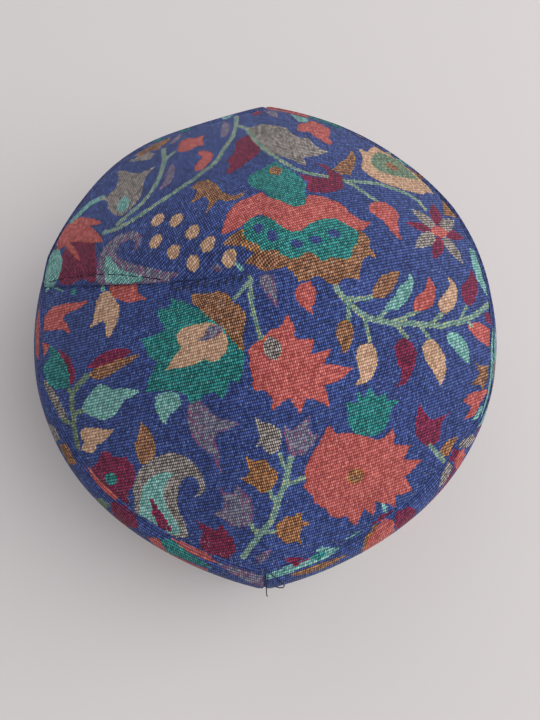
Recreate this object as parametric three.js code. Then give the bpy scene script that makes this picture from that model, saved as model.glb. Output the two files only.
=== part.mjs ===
// A brimless cap of flower-woven cloth, standing on its rim.
// The crown is a round panel slit along one radius and lapped there, so that it rises as a
// shallow cone. The upright side is two panels, seamed at a front and a back point.
// Millimetres, +Z up, front point towards -Y, origin on the floor under the cap's middle.

import * as THREE from 'three';
import { mergeVertices } from 'three/addons/utils/BufferGeometryUtils.js';

// The plan outline at the crown seam: a round that runs out to a blunt point at front and back
const SEAM_HALF_WIDTH = 80.5;
const POINT_REACH = 8.2;
const POINT_SHARPNESS = 2.5;

// The crown above its seam: a profile power of 1 is a cone, 2 a bowl
const SEAM_HEIGHT = 70;
const CROWN_RISE = 33;
const CROWN_CURVE = 1.5;
const PEAK = { x: 5, y: 5 };

// The side below the seam: it rolls out over a soft shoulder and widens to the rim
const SHOULDER_REACH = 6.4;
const SHOULDER_DROP = 8;
const RIM_FLARE = 2.9;
const RIM_SOFTNESS = 0.4;

// Cloth, and the space left along each sewn line
const CLOTH = 2;
const SEAM_GAP = 0.3;

// The lap: back cloth laid over front cloth along one radius, flattening out towards the peak
const LAP_ANGLE = -97.5;
const LAP_STEP = 1.9;
const LAP_SPREAD = 15;
const LAP_TURN = 0.35;
const LAP_FADE = { from: 0.12, to: 0.6 };

// Soft bulges and hollows of the outline, by angle from the front point round to the right
const DENTS = [
  { at: -142, spread: 22, push: 3.0 },
  { at: -164, spread: 20, push: -1.8 },
  { at: -50, spread: 24, push: 1.1 },
  { at: 50, spread: 24, push: 0.8 },
  { at: 116, spread: 24, push: -0.6 },
];

// Facets: rings from the peak to the seam, columns between the crown's marks, rows of the side
const CROWN_RINGS = 13;
const CROWN_COLUMNS = { lapToFront: 24, frontToBack: 44, backToLap: 21 };
const SIDE_COLUMNS = 48;
const SHOULDER_ROWS = 6;
const WALL_ROWS = 7;

const WEAVE = { color: 0x3e4882, roughness: 0.9, metalness: 0 };

const radians = THREE.MathUtils.degToRad;

// Smallest turn between two angles in degrees
function turnBetween(angle, mark) {
  return THREE.MathUtils.euclideanModulo(angle - mark + 180, 360) - 180;
}

// Distance from the middle to the cap's outline, for a round of the given half width
function planRadius(angle, halfWidth, softness) {
  const alongSide = Math.abs(Math.sin(radians(angle)));
  let radius = halfWidth + POINT_REACH * (1 - alongSide) ** POINT_SHARPNESS;
  for (const dent of DENTS) {
    const away = turnBetween(angle, dent.at) / dent.spread;
    radius += softness * dent.push * Math.exp(-away * away);
  }
  return radius;
}

// Height that the lapped back cloth adds over the front cloth
function lapHeight(angle, share) {
  const behind = -turnBetween(angle, LAP_ANGLE);
  if (behind <= 0) {
    return 0;
  }
  const fade = THREE.MathUtils.smoothstep(share, LAP_FADE.from, LAP_FADE.to);
  return LAP_STEP * fade * Math.exp(-((behind / LAP_SPREAD) ** 2));
}

// A point of the crown's upper face: share runs from 0 at the peak to 1 at the seam
function crownPoint(angle, share) {
  const radius = planRadius(angle, SEAM_HALF_WIDTH, 1);
  const x = radius * Math.sin(radians(angle));
  const y = -radius * Math.cos(radians(angle));
  const rise = CROWN_RISE * (1 - share ** CROWN_CURVE);
  return new THREE.Vector3(
    THREE.MathUtils.lerp(PEAK.x, x, share),
    THREE.MathUtils.lerp(PEAK.y, y, share),
    SEAM_HEIGHT + rise + lapHeight(angle, share),
  );
}

// A cut through the side: how far it stands out from the seam, its height and its outward normal
function sideSection(row) {
  if (row <= SHOULDER_ROWS) {
    const bend = (row / SHOULDER_ROWS) * (Math.PI / 2);
    const normal = new THREE.Vector2(SHOULDER_DROP * Math.sin(bend), SHOULDER_REACH * Math.cos(bend));
    return {
      reach: SEAM_GAP + (SHOULDER_REACH - SEAM_GAP) * Math.sin(bend),
      z: SEAM_HEIGHT - SHOULDER_DROP * (1 - Math.cos(bend)),
      softness: 1,
      normal: normal.normalize(),
    };
  }
  const down = (row - SHOULDER_ROWS) / WALL_ROWS;
  return {
    reach: SHOULDER_REACH + RIM_FLARE * down,
    z: (SEAM_HEIGHT - SHOULDER_DROP) * (1 - down),
    softness: THREE.MathUtils.lerp(1, RIM_SOFTNESS, down),
    normal: new THREE.Vector2(1, 0),
  };
}

// Welds a bent geometry into one closed body, with its faces turned out
function weld(geometry) {
  geometry.deleteAttribute('normal');
  geometry.deleteAttribute('uv');
  const body = mergeVertices(geometry, 1e-4);
  const corner = [new THREE.Vector3(), new THREE.Vector3(), new THREE.Vector3()];
  const faces = Array.from(body.index.array);
  let volume = 0;
  for (let i = 0; i < faces.length; i += 3) {
    corner.forEach((point, k) => point.fromBufferAttribute(body.attributes.position, faces[i + k]));
    volume += corner[0].dot(corner[1].clone().cross(corner[2]));
  }
  if (volume < 0) {
    faces.reverse();
    body.setIndex(faces);
  }
  body.computeVertexNormals();
  return body;
}

function clothPiece(name, geometry) {
  const piece = new THREE.Mesh(weld(geometry), new THREE.MeshStandardMaterial(WEAVE));
  piece.name = name;
  return piece;
}

// Evenly spread angles from one mark up to, but not including, the next
function anglesBetween(start, end, count) {
  return Array.from({ length: count }, (_, i) => THREE.MathUtils.lerp(start, end, i / count));
}

// The crown's columns start on the front cloth at the lap, go round by the two points and end
// on the back cloth's folded edge, just short of where they began
function crownAngles() {
  const foldedEdge = LAP_ANGLE + 360 - LAP_TURN;
  return [
    ...anglesBetween(LAP_ANGLE, 0, CROWN_COLUMNS.lapToFront),
    ...anglesBetween(0, 180, CROWN_COLUMNS.frontToBack),
    ...anglesBetween(180, foldedEdge, CROWN_COLUMNS.backToLap),
    foldedEdge,
  ];
}

// A ball flattened into the crown's wall: its upper rings are the outer face, its lower the inner
function makeCrown() {
  const angles = crownAngles();
  const columns = angles.length;
  const lastRow = 2 * CROWN_RINGS + 1;
  const geometry = new THREE.SphereGeometry(1, columns, lastRow);
  const position = geometry.attributes.position;
  for (let i = 0; i < position.count; i += 1) {
    const row = Math.floor(i / (columns + 1));
    const angle = angles[(i % (columns + 1)) % columns];
    const outer = row <= CROWN_RINGS;
    const share = (outer ? row : lastRow - row) / CROWN_RINGS;
    const point = crownPoint(angle, share);
    position.setXYZ(i, point.x, point.y, outer ? point.z : point.z - CLOTH);
  }
  return clothPiece('crown', geometry);
}

// A slab bent round half of the cap, from the front point to the back point
function makeSidePanel(name, hand) {
  const rows = SHOULDER_ROWS + WALL_ROWS;
  const geometry = new THREE.BoxGeometry(1, 1, 1, SIDE_COLUMNS, rows, 1);
  const position = geometry.attributes.position;
  for (let i = 0; i < position.count; i += 1) {
    const along = (position.getX(i) + 0.5) * 180;
    const section = sideSection(Math.round((0.5 - position.getY(i)) * rows));
    const depth = position.getZ(i) > 0 ? 0 : CLOTH;
    const reach = section.reach - depth * section.normal.x;
    const radius = planRadius(hand * along, SEAM_HALF_WIDTH + reach, section.softness);
    position.setXYZ(
      i,
      hand * (radius * Math.sin(radians(along)) + SEAM_GAP / 2),
      -radius * Math.cos(radians(along)),
      section.z - depth * section.normal.y,
    );
  }
  return clothPiece(name, geometry);
}

const cap = new THREE.Group();
cap.add(makeCrown());
cap.add(makeSidePanel('side_panel_left', -1));
cap.add(makeSidePanel('side_panel_right', 1));

export default cap;
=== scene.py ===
import math
import random

import bmesh
import bpy
import numpy as np
from mathutils import Matrix, Vector


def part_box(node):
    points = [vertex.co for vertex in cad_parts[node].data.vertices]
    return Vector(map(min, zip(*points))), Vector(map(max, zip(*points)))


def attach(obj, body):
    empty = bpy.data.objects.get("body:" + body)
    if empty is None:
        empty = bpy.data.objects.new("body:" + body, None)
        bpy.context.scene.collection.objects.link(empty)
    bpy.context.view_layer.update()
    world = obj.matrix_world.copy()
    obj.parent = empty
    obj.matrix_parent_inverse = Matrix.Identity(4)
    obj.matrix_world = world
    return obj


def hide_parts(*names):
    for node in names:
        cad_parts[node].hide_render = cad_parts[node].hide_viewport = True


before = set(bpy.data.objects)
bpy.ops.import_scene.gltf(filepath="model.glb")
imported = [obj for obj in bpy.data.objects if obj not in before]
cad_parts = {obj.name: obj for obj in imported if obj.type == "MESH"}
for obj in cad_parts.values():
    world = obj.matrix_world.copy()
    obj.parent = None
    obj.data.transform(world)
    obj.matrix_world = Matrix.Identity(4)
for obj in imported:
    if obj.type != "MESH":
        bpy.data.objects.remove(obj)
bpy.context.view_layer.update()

# A brimless cap of flower-woven cloth, standing on its rim: a lapped crown on an upright side.
# Sizes are in millimetres, and MM turns them into the scene's metres.
MM = 0.001
TINY = 1e-6
LINT_DICE = random.Random(7)
CLOTH_DICE = np.random.default_rng(11)

# The plan outline at the crown seam, by angle from the front point round to the right
SEAM_HALF_WIDTH = 80.5
POINT_REACH = 8.2
POINT_SHARPNESS = 2.5
DENTS = (  # at, spread in degrees, push
    (-142, 22, 3.0),
    (-164, 20, -1.8),
    (-50, 24, 1.1),
    (50, 24, 0.8),
    (116, 24, -0.6),
)

# The crown above its seam
SEAM_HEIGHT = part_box("side_panel_left")[1][2] / MM
CROWN_RISE = 33
CROWN_CURVE = 1.5
PEAK = (5, 5)

# The lap that makes a cone of the flat round: back cloth laid over front cloth along one radius,
# which bows a little to the back. Spreads are in radians, and fades are shares of the way from
# the peak to the seam, or millimetres under the fold.
LAP_ANGLE = math.radians(-97.5)
LAP_WEDGE = math.radians(24)
LAP_STEP = 1.4
LAP_SPREAD = math.radians(15)
LAP_FADE = (0.12, 0.6)
LAP_LEAST = 0.15
LAP_LEAST_FADE = (0.02, 0.1)
LAP_TUCK = 5
LAP_MARGIN = 1.6
LAP_BOW = 4.6
BOW_START = 0.02
BOW_SKEW = 0.8
BOW_SPREAD = 0.5
UNDER_DROP = 1.2
UNDER_FADE = (0.4, 3)
FOLD_ROLL = 0.6
FOLD_WIDTH = 0.8

# Sewing along the lap, in millimetres of flat cloth from the peak: a row of stitches in a crease
# behind the fold, and nearer the peak short stitches that cross onto the front cloth and pucker it
TOPSTITCH = (
    (-87.8, 26.6), (-82, 26), (-72, 24), (-62, 21.6), (-53.6, 18.6), (-42, 13.6), (-36.8, 11),
)
CREASE_DEPTH = 0.4
CREASE_WIDTH = 1
LADDER_FROM = -38
LADDER_TO = -12
LADDER_PITCH = 2.4
LADDER_LENGTH = 3.5
PUCKERS_START = (LADDER_FROM - 2, LADDER_FROM + 1)
PUCKERS_END = (LADDER_TO - 1, LADDER_TO + 2)
PUCKER_DEPTH = 0.5
PUCKER_SHARPNESS = 6
PUCKER_MIDDLE = 1.5
PUCKER_WIDTH = 1.7

# Shallow relief of the crown: sunk and gathered along its seam, slack in the cone
DIP_DEPTH = 0.15
DIP_WIDTH = 1
GATHER_DEPTH = 0.2
GATHER_COUNT = 41
GATHER_DRIFT = 2
DRIFT_COUNT = 5
GATHER_REACH = 6
SAG_DEPTH = 0.5
SAG_COUNT = 3
SAG_START = 1.1

# The side below the seam: the shoulder, the wall that widens to the rim, and the hem inside it
SHOULDER_REACH = 6.4
SHOULDER_DROP = 8
SHOULDER_START = math.radians(30)
SHOULDER_POINTS = 30
SEAM_SHIFTS = (  # angle in degrees, how far the crown seam lies out over the shoulder there
    (-180, 1.0), (-150, 2.0), (-125, 2.4), (-106, 3.6), (-96, 2.0), (-88, 0.9), (-80, 1.0),
    (-72, 2.2), (-62, 0), (54, 0), (63, 3.0), (70, 3.2), (82, 2.2), (95, 2.8), (110, 3.7),
    (121, 4.0), (140, 2.6), (160, 2.0), (180, 1.0),
)
WALL_TOP = SEAM_HEIGHT - SHOULDER_DROP
WALL_POINTS = 60
RIM_FLARE = 2.9
RIM_SOFTNESS = 0.4
RIM_ROUND = 0.5
HEM = 9
HEM_GAP = 0.4
WAVE_DEPTH = 0.7
WAVE_COUNT = 9
WAVE_SWELL = 4
POINT_CREASE = 0.45
POINT_CREASE_WIDTH = 1.2

# Cloth: its thickness, what is turned in, overlapped and lifted at a seam, the pitch of its
# dashes, the picks that make up a row of them, how many lie across one face of the mesh, and
# the turn of the crown's weave in degrees
CLOTH = 1.5
SEAM_TURN = 3.2
SEAM_OVERLAP = 0.5
SEAM_LIFT = 0.15
TURN_ROWS = 3
COLUMN = 0.66
ROW = 1.0
PICKS = 2
CELL = 2
GRAIN = 20


# The cap's shape

def wrapped(turn, half_round):
    return (turn + half_round) % (2 * half_round) - half_round


def hump(away, width):
    """A soft rise, 1 in its middle and next to nothing two widths away."""
    return np.exp(-((away / width) ** 2))


def ease(value, start, end):
    share = np.clip((value - start) / (end - start), 0, 1)
    return share * share * (3 - 2 * share)


def run_along(x, y):
    """Length along a line of points, at each of them."""
    return np.concatenate(([0], np.cumsum(np.hypot(np.diff(x), np.diff(y)))))


def distance_to_line(points, u, v):
    nearest = np.full(u.shape, np.inf)
    for (u0, v0), (u1, v1) in zip(points[:-1], points[1:]):
        du = u1 - u0
        dv = v1 - v0
        part = np.clip(((u - u0) * du + (v - v0) * dv) / max(du**2 + dv**2, TINY), 0, 1)
        nearest = np.minimum(nearest, np.hypot(u - u0 - part * du, v - v0 - part * dv))
    return nearest


def plan_radius(angle, half_width, softness=1.0):
    radius = half_width + POINT_REACH * (1 - np.abs(np.sin(angle))) ** POINT_SHARPNESS
    for at, spread, push in DENTS:
        radius = radius + softness * push * hump(wrapped(np.degrees(angle) - at, 180), spread)
    return radius


def seam_shift(angle):
    return np.interp(wrapped(np.degrees(angle), 180), *np.transpose(SEAM_SHIFTS))


def seam_radius(angle):
    return plan_radius(angle, SEAM_HALF_WIDTH) + seam_shift(angle)


def plan_point(angle, radius):
    return radius * np.sin(angle), -radius * np.cos(angle)


# The seam line seen from the peak: bearing anticlockwise from +X, and distance
ROUND_SPARE = 1
ROUND_POINTS = 3000
ROUND_END = LAP_ANGLE + 2 * math.pi + ROUND_SPARE
ROUND = np.linspace(LAP_ANGLE - ROUND_SPARE, ROUND_END, ROUND_POINTS)
ROUND_X, ROUND_Y = plan_point(ROUND, seam_radius(ROUND))
ROUND_BEARING = np.unwrap(np.arctan2(ROUND_Y - PEAK[1], ROUND_X - PEAK[0]))
ROUND_REACH = np.hypot(ROUND_X - PEAK[0], ROUND_Y - PEAK[1])
MIDDLE_BEARING = np.interp(LAP_ANGLE, ROUND, ROUND_BEARING) + math.pi
HALF_ROUND = math.pi - LAP_WEDGE / 2
CONE = CROWN_RISE * CROWN_CURVE


def cone_length(share, reach):
    """Length along the crown from the peak. A rise of power 1.5 has a slope that grows with the
    root of the share, so the length grows with a power of 1.5 again."""
    return ((reach**2 + share * CONE**2) ** 1.5 - reach**3) / (1.5 * CONE**2)


def cone_share(length, reach):
    """Share of the way from the peak to the seam at some length along the crown."""
    share = ((reach**3 + 1.5 * CONE**2 * length) ** (2 / 3) - reach**2) / CONE**2
    return np.clip(share, 0, 1)


class CrownPlace:
    """Where points of the flat crown cloth, measured from the peak, come to lie on the cap."""

    def __init__(self, u, v):
        away = np.maximum(np.hypot(u, v), TINY)
        spread = wrapped(np.arctan2(v, u) - MIDDLE_BEARING, math.pi)
        tuck = np.clip(LAP_WEDGE / 2 - LAP_MARGIN / away, 0, LAP_TUCK / away)
        past_front = -spread - HALF_ROUND
        past_back = spread - HALF_ROUND
        held = np.clip(spread, -HALF_ROUND - tuck, HALF_ROUND)
        bearing = MIDDLE_BEARING + held * math.pi / HALF_ROUND
        reach = np.interp(bearing, ROUND_BEARING, ROUND_REACH)
        edge = cone_length(1, reach)
        past_seam = away - edge
        self.inside = (past_back <= 0) & (past_front <= tuck) & (past_seam <= SEAM_TURN)

        # Along the cone from the peak to the seam, the lap line bowing a little to the back
        on_cone = np.minimum(away, edge)
        share = cone_share(on_cone, reach)
        from_lap = math.pi - np.abs(held) * math.pi / HALF_ROUND
        steady = np.maximum(share, BOW_START)
        bow = LAP_BOW * np.sin(math.pi * steady**BOW_SKEW) / (steady * reach)
        angle = np.interp(bearing + bow * hump(from_lap, BOW_SPREAD), ROUND_BEARING, ROUND)
        seam_x, seam_y = plan_point(angle, seam_radius(angle))

        # Back cloth lies over front cloth at the lap, and the front cloth runs on under it
        fade = ease(share, *LAP_FADE)
        back = spread > 0
        step = LAP_STEP * np.maximum(fade, LAP_LEAST * ease(share, *LAP_LEAST_FADE))
        lap = np.where(back, step * hump(from_lap, LAP_SPREAD), 0)
        under = np.where(back, 0, np.maximum(past_front, 0) * away)
        lap = lap - UNDER_DROP * ease(under, *UNDER_FADE)

        # The rolled fold, the crease along the row of stitches, and the puckers of the short ones
        to_fold = from_lap * share * reach
        rolled = np.where(back, FOLD_ROLL * fade * hump(to_fold, FOLD_WIDTH), 0)
        to_stitches = distance_to_line(TOPSTITCH, u, v)
        crease = np.where(back, CREASE_DEPTH * hump(to_stitches, CREASE_WIDTH), 0)
        sewn = ease(u, *PUCKERS_START) - ease(u, *PUCKERS_END)
        pull = np.cos(math.pi * u / LADDER_PITCH) ** PUCKER_SHARPNESS
        pull = pull * hump(to_fold - PUCKER_MIDDLE, PUCKER_WIDTH)
        puckers = np.where(back, 0, PUCKER_DEPTH * sewn * pull)

        # Gathers along the seam, slack in the cone, and the edge that is turned in at the seam
        self.to_seam = edge - on_cone
        dip = DIP_DEPTH * hump(self.to_seam, DIP_WIDTH)
        drift = GATHER_DRIFT * np.sin(angle * DRIFT_COUNT)
        gathers = GATHER_DEPTH * np.sin(angle * GATHER_COUNT + drift)
        gathers = gathers * np.exp(-self.to_seam / GATHER_REACH)
        sag = SAG_DEPTH * np.sin(angle * SAG_COUNT + SAG_START) * np.sin(math.pi * share) ** 2
        turned_in = np.clip(past_seam, 0, SEAM_TURN)

        rise = CROWN_RISE * (1 - share**CROWN_CURVE)
        sunk = rolled + crease + puckers + dip + turned_in
        x = PEAK[0] + (seam_x - PEAK[0]) * share
        y = PEAK[1] + (seam_y - PEAK[1]) * share
        z = SEAM_HEIGHT + rise + lap + gathers + sag - sunk
        self.points = np.column_stack((x, y, z)) * MM


def side_section():
    """The cut through the side: its folded top edge on the crown's, shoulder, wall and hem."""
    bend = np.linspace(SHOULDER_START, math.pi / 2, SHOULDER_POINTS)
    out = (np.sin(bend) - math.sin(SHOULDER_START)) / (1 - math.sin(SHOULDER_START))
    sunk = 1 - np.cos(bend) / math.cos(SHOULDER_START)
    down = np.linspace(0, 1, WALL_POINTS)[1:]
    hem_reach = SHOULDER_REACH + RIM_FLARE - 2 * CLOTH - HEM_GAP
    hem_top = hem_reach - RIM_FLARE * HEM / WALL_TOP
    reach = np.concatenate((
        [-SEAM_OVERLAP],
        (SHOULDER_REACH + SEAM_OVERLAP) * out - SEAM_OVERLAP,
        SHOULDER_REACH + RIM_FLARE * down,
        [hem_reach + RIM_ROUND, hem_reach, hem_top],
    ))
    z = np.concatenate((
        [SEAM_HEIGHT - SEAM_TURN],
        SEAM_HEIGHT + SEAM_LIFT - (SHOULDER_DROP + SEAM_LIFT) * sunk,
        WALL_TOP * (1 - down),
        [0.0, RIM_ROUND, HEM],
    ))
    softness = np.interp(z, [0, WALL_TOP], [RIM_SOFTNESS, 1])
    length = run_along(reach, z)
    return length - length[1], reach, z, softness


SECTION_AT, SECTION_REACH, SECTION_Z, SECTION_SOFTNESS = side_section()
SIDE_POINTS = 800
SIDE_ANGLE = np.linspace(0, math.pi, SIDE_POINTS)
SIDE_OUTLINE = plan_point(SIDE_ANGLE, plan_radius(SIDE_ANGLE, SEAM_HALF_WIDTH + SHOULDER_REACH))
SIDE_ALONG = run_along(*SIDE_OUTLINE)
SIDE_LENGTH = float(SIDE_ALONG[-1])
SIDE_CUT = SIDE_LENGTH + 2 * SEAM_TURN


def side_points(hand, along, down):
    """Where points of a flat side panel lie: along from the front point, down from the seam."""
    held = np.clip(along, 0, SIDE_LENGTH)
    angle = np.interp(held, SIDE_ALONG, SIDE_ANGLE)
    reach = np.interp(down, SECTION_AT, SECTION_REACH)
    z = np.interp(down, SECTION_AT, SECTION_Z)
    softness = np.interp(down, SECTION_AT, SECTION_SOFTNESS)
    tight = seam_shift(hand * angle) * (1 - reach / SHOULDER_REACH)
    reach = np.where(z > WALL_TOP, reach + tight, reach)
    slack = np.sin(math.pi * np.clip(z / WALL_TOP, 0, 1))
    waves = WAVE_DEPTH * slack * np.sin(angle * WAVE_COUNT + hand) * np.sin(angle * WAVE_SWELL)
    radius = plan_radius(hand * angle, SEAM_HALF_WIDTH + reach, softness) + waves
    to_point = np.minimum(held, SIDE_LENGTH - held)
    radius = radius - POINT_CREASE * hump(to_point, POINT_CREASE_WIDTH)
    turned_in = np.maximum(-along, 0) + np.maximum(along - SIDE_LENGTH, 0)
    x, y = plan_point(angle, radius - turned_in)
    return np.column_stack((hand * np.maximum(x, 0), y, z)) * MM


# Yarns: the dash on top, the gap round it, a fleck in some dashes, the dashes at a motif's edge

YARNS = {
    "navy": ("445794", "171d42", "5469a5", "4b6199"),
    "coral": ("bd6a65", "843030", "c97b74", "c45f40"),
    "teal": ("378f8b", "0a3438", "4a9e99", "3c9f98"),
    "seafoam": ("89b9b1", "326664", "9fc3be", "98c8c0"),
    "maroon": ("842d4d", "3a1226", "963656", "a52a4e"),
    "brown": ("a67759", "371e18", "b99074", "c08b44"),
    "golden": ("b07b58", "3b2216", "bd8c5c", "c78c3e"),
    "beige": ("c8a68c", "896650", "d2b39d", "ccad77"),
    "grey": ("a79e98", "221c1f", "b2a9a3", "bdb3a7"),
    "mauve": ("8a898f", "3c3a5c", "8c5a72", "914d6f"),
    "stem": ("8ca094", "356260", "aaab84", "aeab7e"),
    "green": ("788e77", "38493d", "89977f", "89976c"),
}
YARN_NAMES = list(YARNS)
GROUND = YARN_NAMES.index("navy")
FLECK_SHARE = 0.18
EDGE_SHARE = 0.45


def linear(colour):
    """A colour as it is seen, in the linear parts that the shaders mix."""
    parts = [int(colour[i:i + 2], 16) / 255 for i in (0, 2, 4)]
    return [part / 12.92 if part <= 0.04045 else ((part + 0.055) / 1.055) ** 2.4 for part in parts]


DASH, GAP, FLECK, EDGE = (
    np.array([linear(shades[number]) for shades in YARNS.values()]) for number in range(4))


# The woven flowers, charted in millimetres of flat cloth from the peak

class Motif:
    """One patch of a single yarn: an outline, or a line of some width."""

    def __init__(self, yarn, points, width=0):
        self.yarn = YARN_NAMES.index(yarn)
        self.points = np.array(points, float)
        self.width = width
        self.low = self.points.min(axis=0) - width
        self.high = self.points.max(axis=0) + width
        self.heart = (self.low + self.high) / 2

    def covers(self, u, v):
        if self.width:
            return distance_to_line(self.points, u, v) < self.width / 2
        hit = np.zeros(u.shape, bool)
        for (u0, v0), (u1, v1) in zip(self.points, np.roll(self.points, -1, axis=0)):
            if v0 == v1:
                continue
            crosses = (v0 > v) != (v1 > v)
            hit ^= crosses & (u < (u1 - u0) * (v - v0) / (v1 - v0) + u0)
        return hit


def turned(across, up, degrees):
    lean = math.radians(degrees)
    return (across * math.cos(lean) - up * math.sin(lean),
            across * math.sin(lean) + up * math.cos(lean))


def patch(yarn, *points):
    return Motif(yarn, points)


def stem(width, *points, yarn="stem"):
    return Motif(yarn, points, width)


SPOT_CORNERS = 14


def spot(yarn, centre, half_wide, half_high, turn=0):
    round_it = np.linspace(0, 2 * math.pi, SPOT_CORNERS, endpoint=False)
    across, up = turned(half_wide * np.cos(round_it), half_high * np.sin(round_it), turn)
    return Motif(yarn, np.column_stack((centre[0] + across, centre[1] + up)))


LEAF_SHAPE = ((0.2, 0.8), (0.5, 1), (0.8, 0.55))  # share of its length, share of its half width


def leaf(yarn, base, tip, width):
    start = np.array(base, float)
    run = np.array(tip, float) - start
    side = np.array((-run[1], run[0])) / np.hypot(*run) * width / 2
    near = [start + run * along + side * out for along, out in LEAF_SHAPE]
    far = [start + run * along - side * out for along, out in reversed(LEAF_SHAPE)]
    return Motif(yarn, [start, *near, start + run, *far])


LOTUS = [
    patch("brown", (-10, 16.7), (-13, 15.5), (-16, 13.6), (-13.5, 12), (-10.5, 11), (-8.5, 8.5),
          (-6.5, 6.5), (-9.9, 5.2), (-7, 3.5), (-5, -1.5), (-1, -1.2), (2, -0.5), (4, -2),
          (6, -4.5), (8, -4.4), (12.5, -2.5), (15, -4), (18.5, -5.6), (20, -3), (22.5, -2),
          (26.5, -2), (26.7, 0.5), (27.5, 3.5), (28.7, 5.5), (30.5, 7), (33.6, 6.2), (32.5, 8.2),
          (31.3, 10), (31.7, 13), (30, 15), (28, 17), (10, 18), (-6, 19)),
    patch("teal", (-7, 20.5), (-9.5, 18), (-9.6, 14), (-8, 11), (-5.5, 9), (-5, 6.5), (0, 5.6),
          (1, 3.5), (3.5, 2.3), (6, 2.8), (8, 4.5), (10, 5), (12, 3.5), (14, 2.5), (17, 4),
          (22.5, 4), (24.5, 6), (24.8, 8.5), (27, 10.5), (27.8, 13.5), (27, 16), (20.5, 19.8),
          (10, 20), (0, 20)),
    spot("navy", (-5, 15.5), 1.6, 2.2),
    spot("navy", (-1, 11.5), 1.6, 2.4),
    spot("navy", (5.8, 7.8), 2.1, 1.6),
    spot("navy", (12.3, 9.7), 2.2, 1.6),
    spot("navy", (19, 13), 2.3, 1.6),
    patch("coral", (-16.2, 17.3), (-15.3, 20.5), (-14, 24.5), (-11.5, 28), (-9, 29.8), (-6, 30.5),
          (-2.5, 32.2), (-0.5, 29), (3.5, 26.3), (7.5, 23.6), (11, 25), (12.2, 28.5), (13.5, 29.8),
          (18, 29.2), (24, 26.5), (26.5, 22.5), (30, 20), (34, 20.4), (29.5, 16), (27, 15.8),
          (20.5, 19.3), (15, 18.5), (11, 16), (8, 13), (5, 12.7), (2.5, 14.5), (0, 18),
          (-2.5, 20.5), (-4, 21.6), (-7, 20.5), (-9.5, 18), (-12, 17), (-15, 16.7)),
    patch("teal", (4.3, 48.7), (2, 47), (-0.5, 45), (-5, 43), (-6.3, 40.5), (-6, 37), (-4, 34.5),
          (-1.5, 32.5), (-0.5, 29), (3.5, 26.3), (7.5, 23.6), (11, 25), (12.2, 28.5), (11.6, 31),
          (13, 35), (11.6, 39), (9, 43), (6.5, 45.5)),
    spot("brown", (3.5, 43), 2.2, 2.6),
]

DOTS = [
    *(spot("beige", centre, 2.4, 2.4) for centre in (
        (-37.7, 32.7), (-31, 29.4), (-38.2, 24.7), (-32.1, 18.5), (-25.2, 22.2), (-20.5, 15.8),
        (-26.2, 12.5), (-14.3, 8.7))),
    patch("seafoam", (-13, 7), (-11.5, 6), (-11, 3.5), (-12, 4)),
    patch("mauve", (-21, 9), (-18, 9), (-17, 6.5), (-20, 7.5)),
]

LEFT_TULIPS = [
    patch("maroon", (-77, 40.5), (-73, 39), (-64, 34.7), (-63.3, 30), (-63.3, 25), (-64.8, 19.3),
          (-68, 20.5), (-70, 22.5), (-76.5, 22), (-80, 23), (-82.7, 26.3), (-80.5, 29), (-80, 35)),
    patch("coral", (-75.5, 51), (-71.5, 50), (-69, 48.5), (-65, 46), (-61, 42.2), (-65.5, 43.3),
          (-67.7, 44.3), (-64, 40), (-62, 37.5), (-60.2, 33.5), (-64, 34.7), (-67, 36), (-73, 39),
          (-76.5, 40), (-74, 36.5), (-72, 33.5), (-70.2, 29.3), (-73, 31.5), (-75, 34.5), (-79, 39),
          (-83, 39), (-84, 44), (-80, 50)),
    patch("seafoam", (-82, 38.7), (-80.5, 35.5), (-79.7, 33), (-80.3, 30), (-82, 27), (-85, 24),
          (-90, 24), (-92, 30), (-86, 40)),
    stem(2.5, (-77, 50.5), (-72, 53.7), (-68, 55.7), (-62.5, 55.7), yarn="seafoam"),
    patch("grey", (-65, 57), (-60, 52.5), (-59, 48.5), (-57.5, 45.5), (-55, 43), (-52.5, 41.5),
          (-47, 44.5), (-45, 47), (-44.5, 51), (-44, 57), (-39.8, 62), (-45.5, 60.5), (-50, 63),
          (-54, 67), (-57, 68), (-55.8, 64), (-56.3, 58), (-60, 55.5)),
    spot("seafoam", (-52.3, 47), 2.7, 3.8),
    stem(1.7, (-60, 37.5), (-56, 36.7), (-50, 37), (-45, 38), (-40, 39.5), (-35, 41), (-30, 43.5),
         (-25, 46.5), (-21.5, 50), (-18.5, 52.5), (-16, 56), (-14.5, 60.5), (-12.5, 65),
         (-10.5, 69), (-9.5, 72.5), (-8.5, 77), (-8, 81), (-7.5, 88)),
    stem(1.8, (-54, 39), (-50, 40.5), (-47, 42), (-44, 43.5), (-41, 47), (-39, 51), (-37.7, 55),
         (-37, 60), (-36.5, 64), (-37, 68), (-37.5, 72.5)),
    stem(1.6, (-35.8, 65), (-33, 68)),
    patch("mauve", (-38.5, 46), (-36, 50.5), (-34.8, 57), (-33.5, 60), (-31.8, 57), (-32.5, 51),
          (-34, 47.5)),
]

HOOKED_PAISLEY = [
    patch("mauve", (-64.7, 19.5), (-63, 25), (-62, 28), (-60, 30.5), (-57, 32.5), (-53, 33.6),
          (-48.5, 33), (-45.5, 31.5), (-43.6, 28.5), (-44.5, 25.5), (-47, 24.3), (-46, 27.3),
          (-47.7, 29.6), (-51, 30), (-53.5, 28.5), (-54.3, 26), (-52, 23.3), (-48, 20.3),
          (-42.5, 17.3), (-37.5, 14.2), (-31.5, 11.3), (-36, 10.5), (-50, 13), (-60, 16)),
    patch("seafoam", (-60.5, 18), (-60, 24.5), (-59, 27.3), (-56.5, 26.5), (-55.5, 23.5),
          (-53.5, 20.5), (-49.5, 18), (-44.5, 15), (-46, 13.5), (-53, 15)),
]

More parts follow.
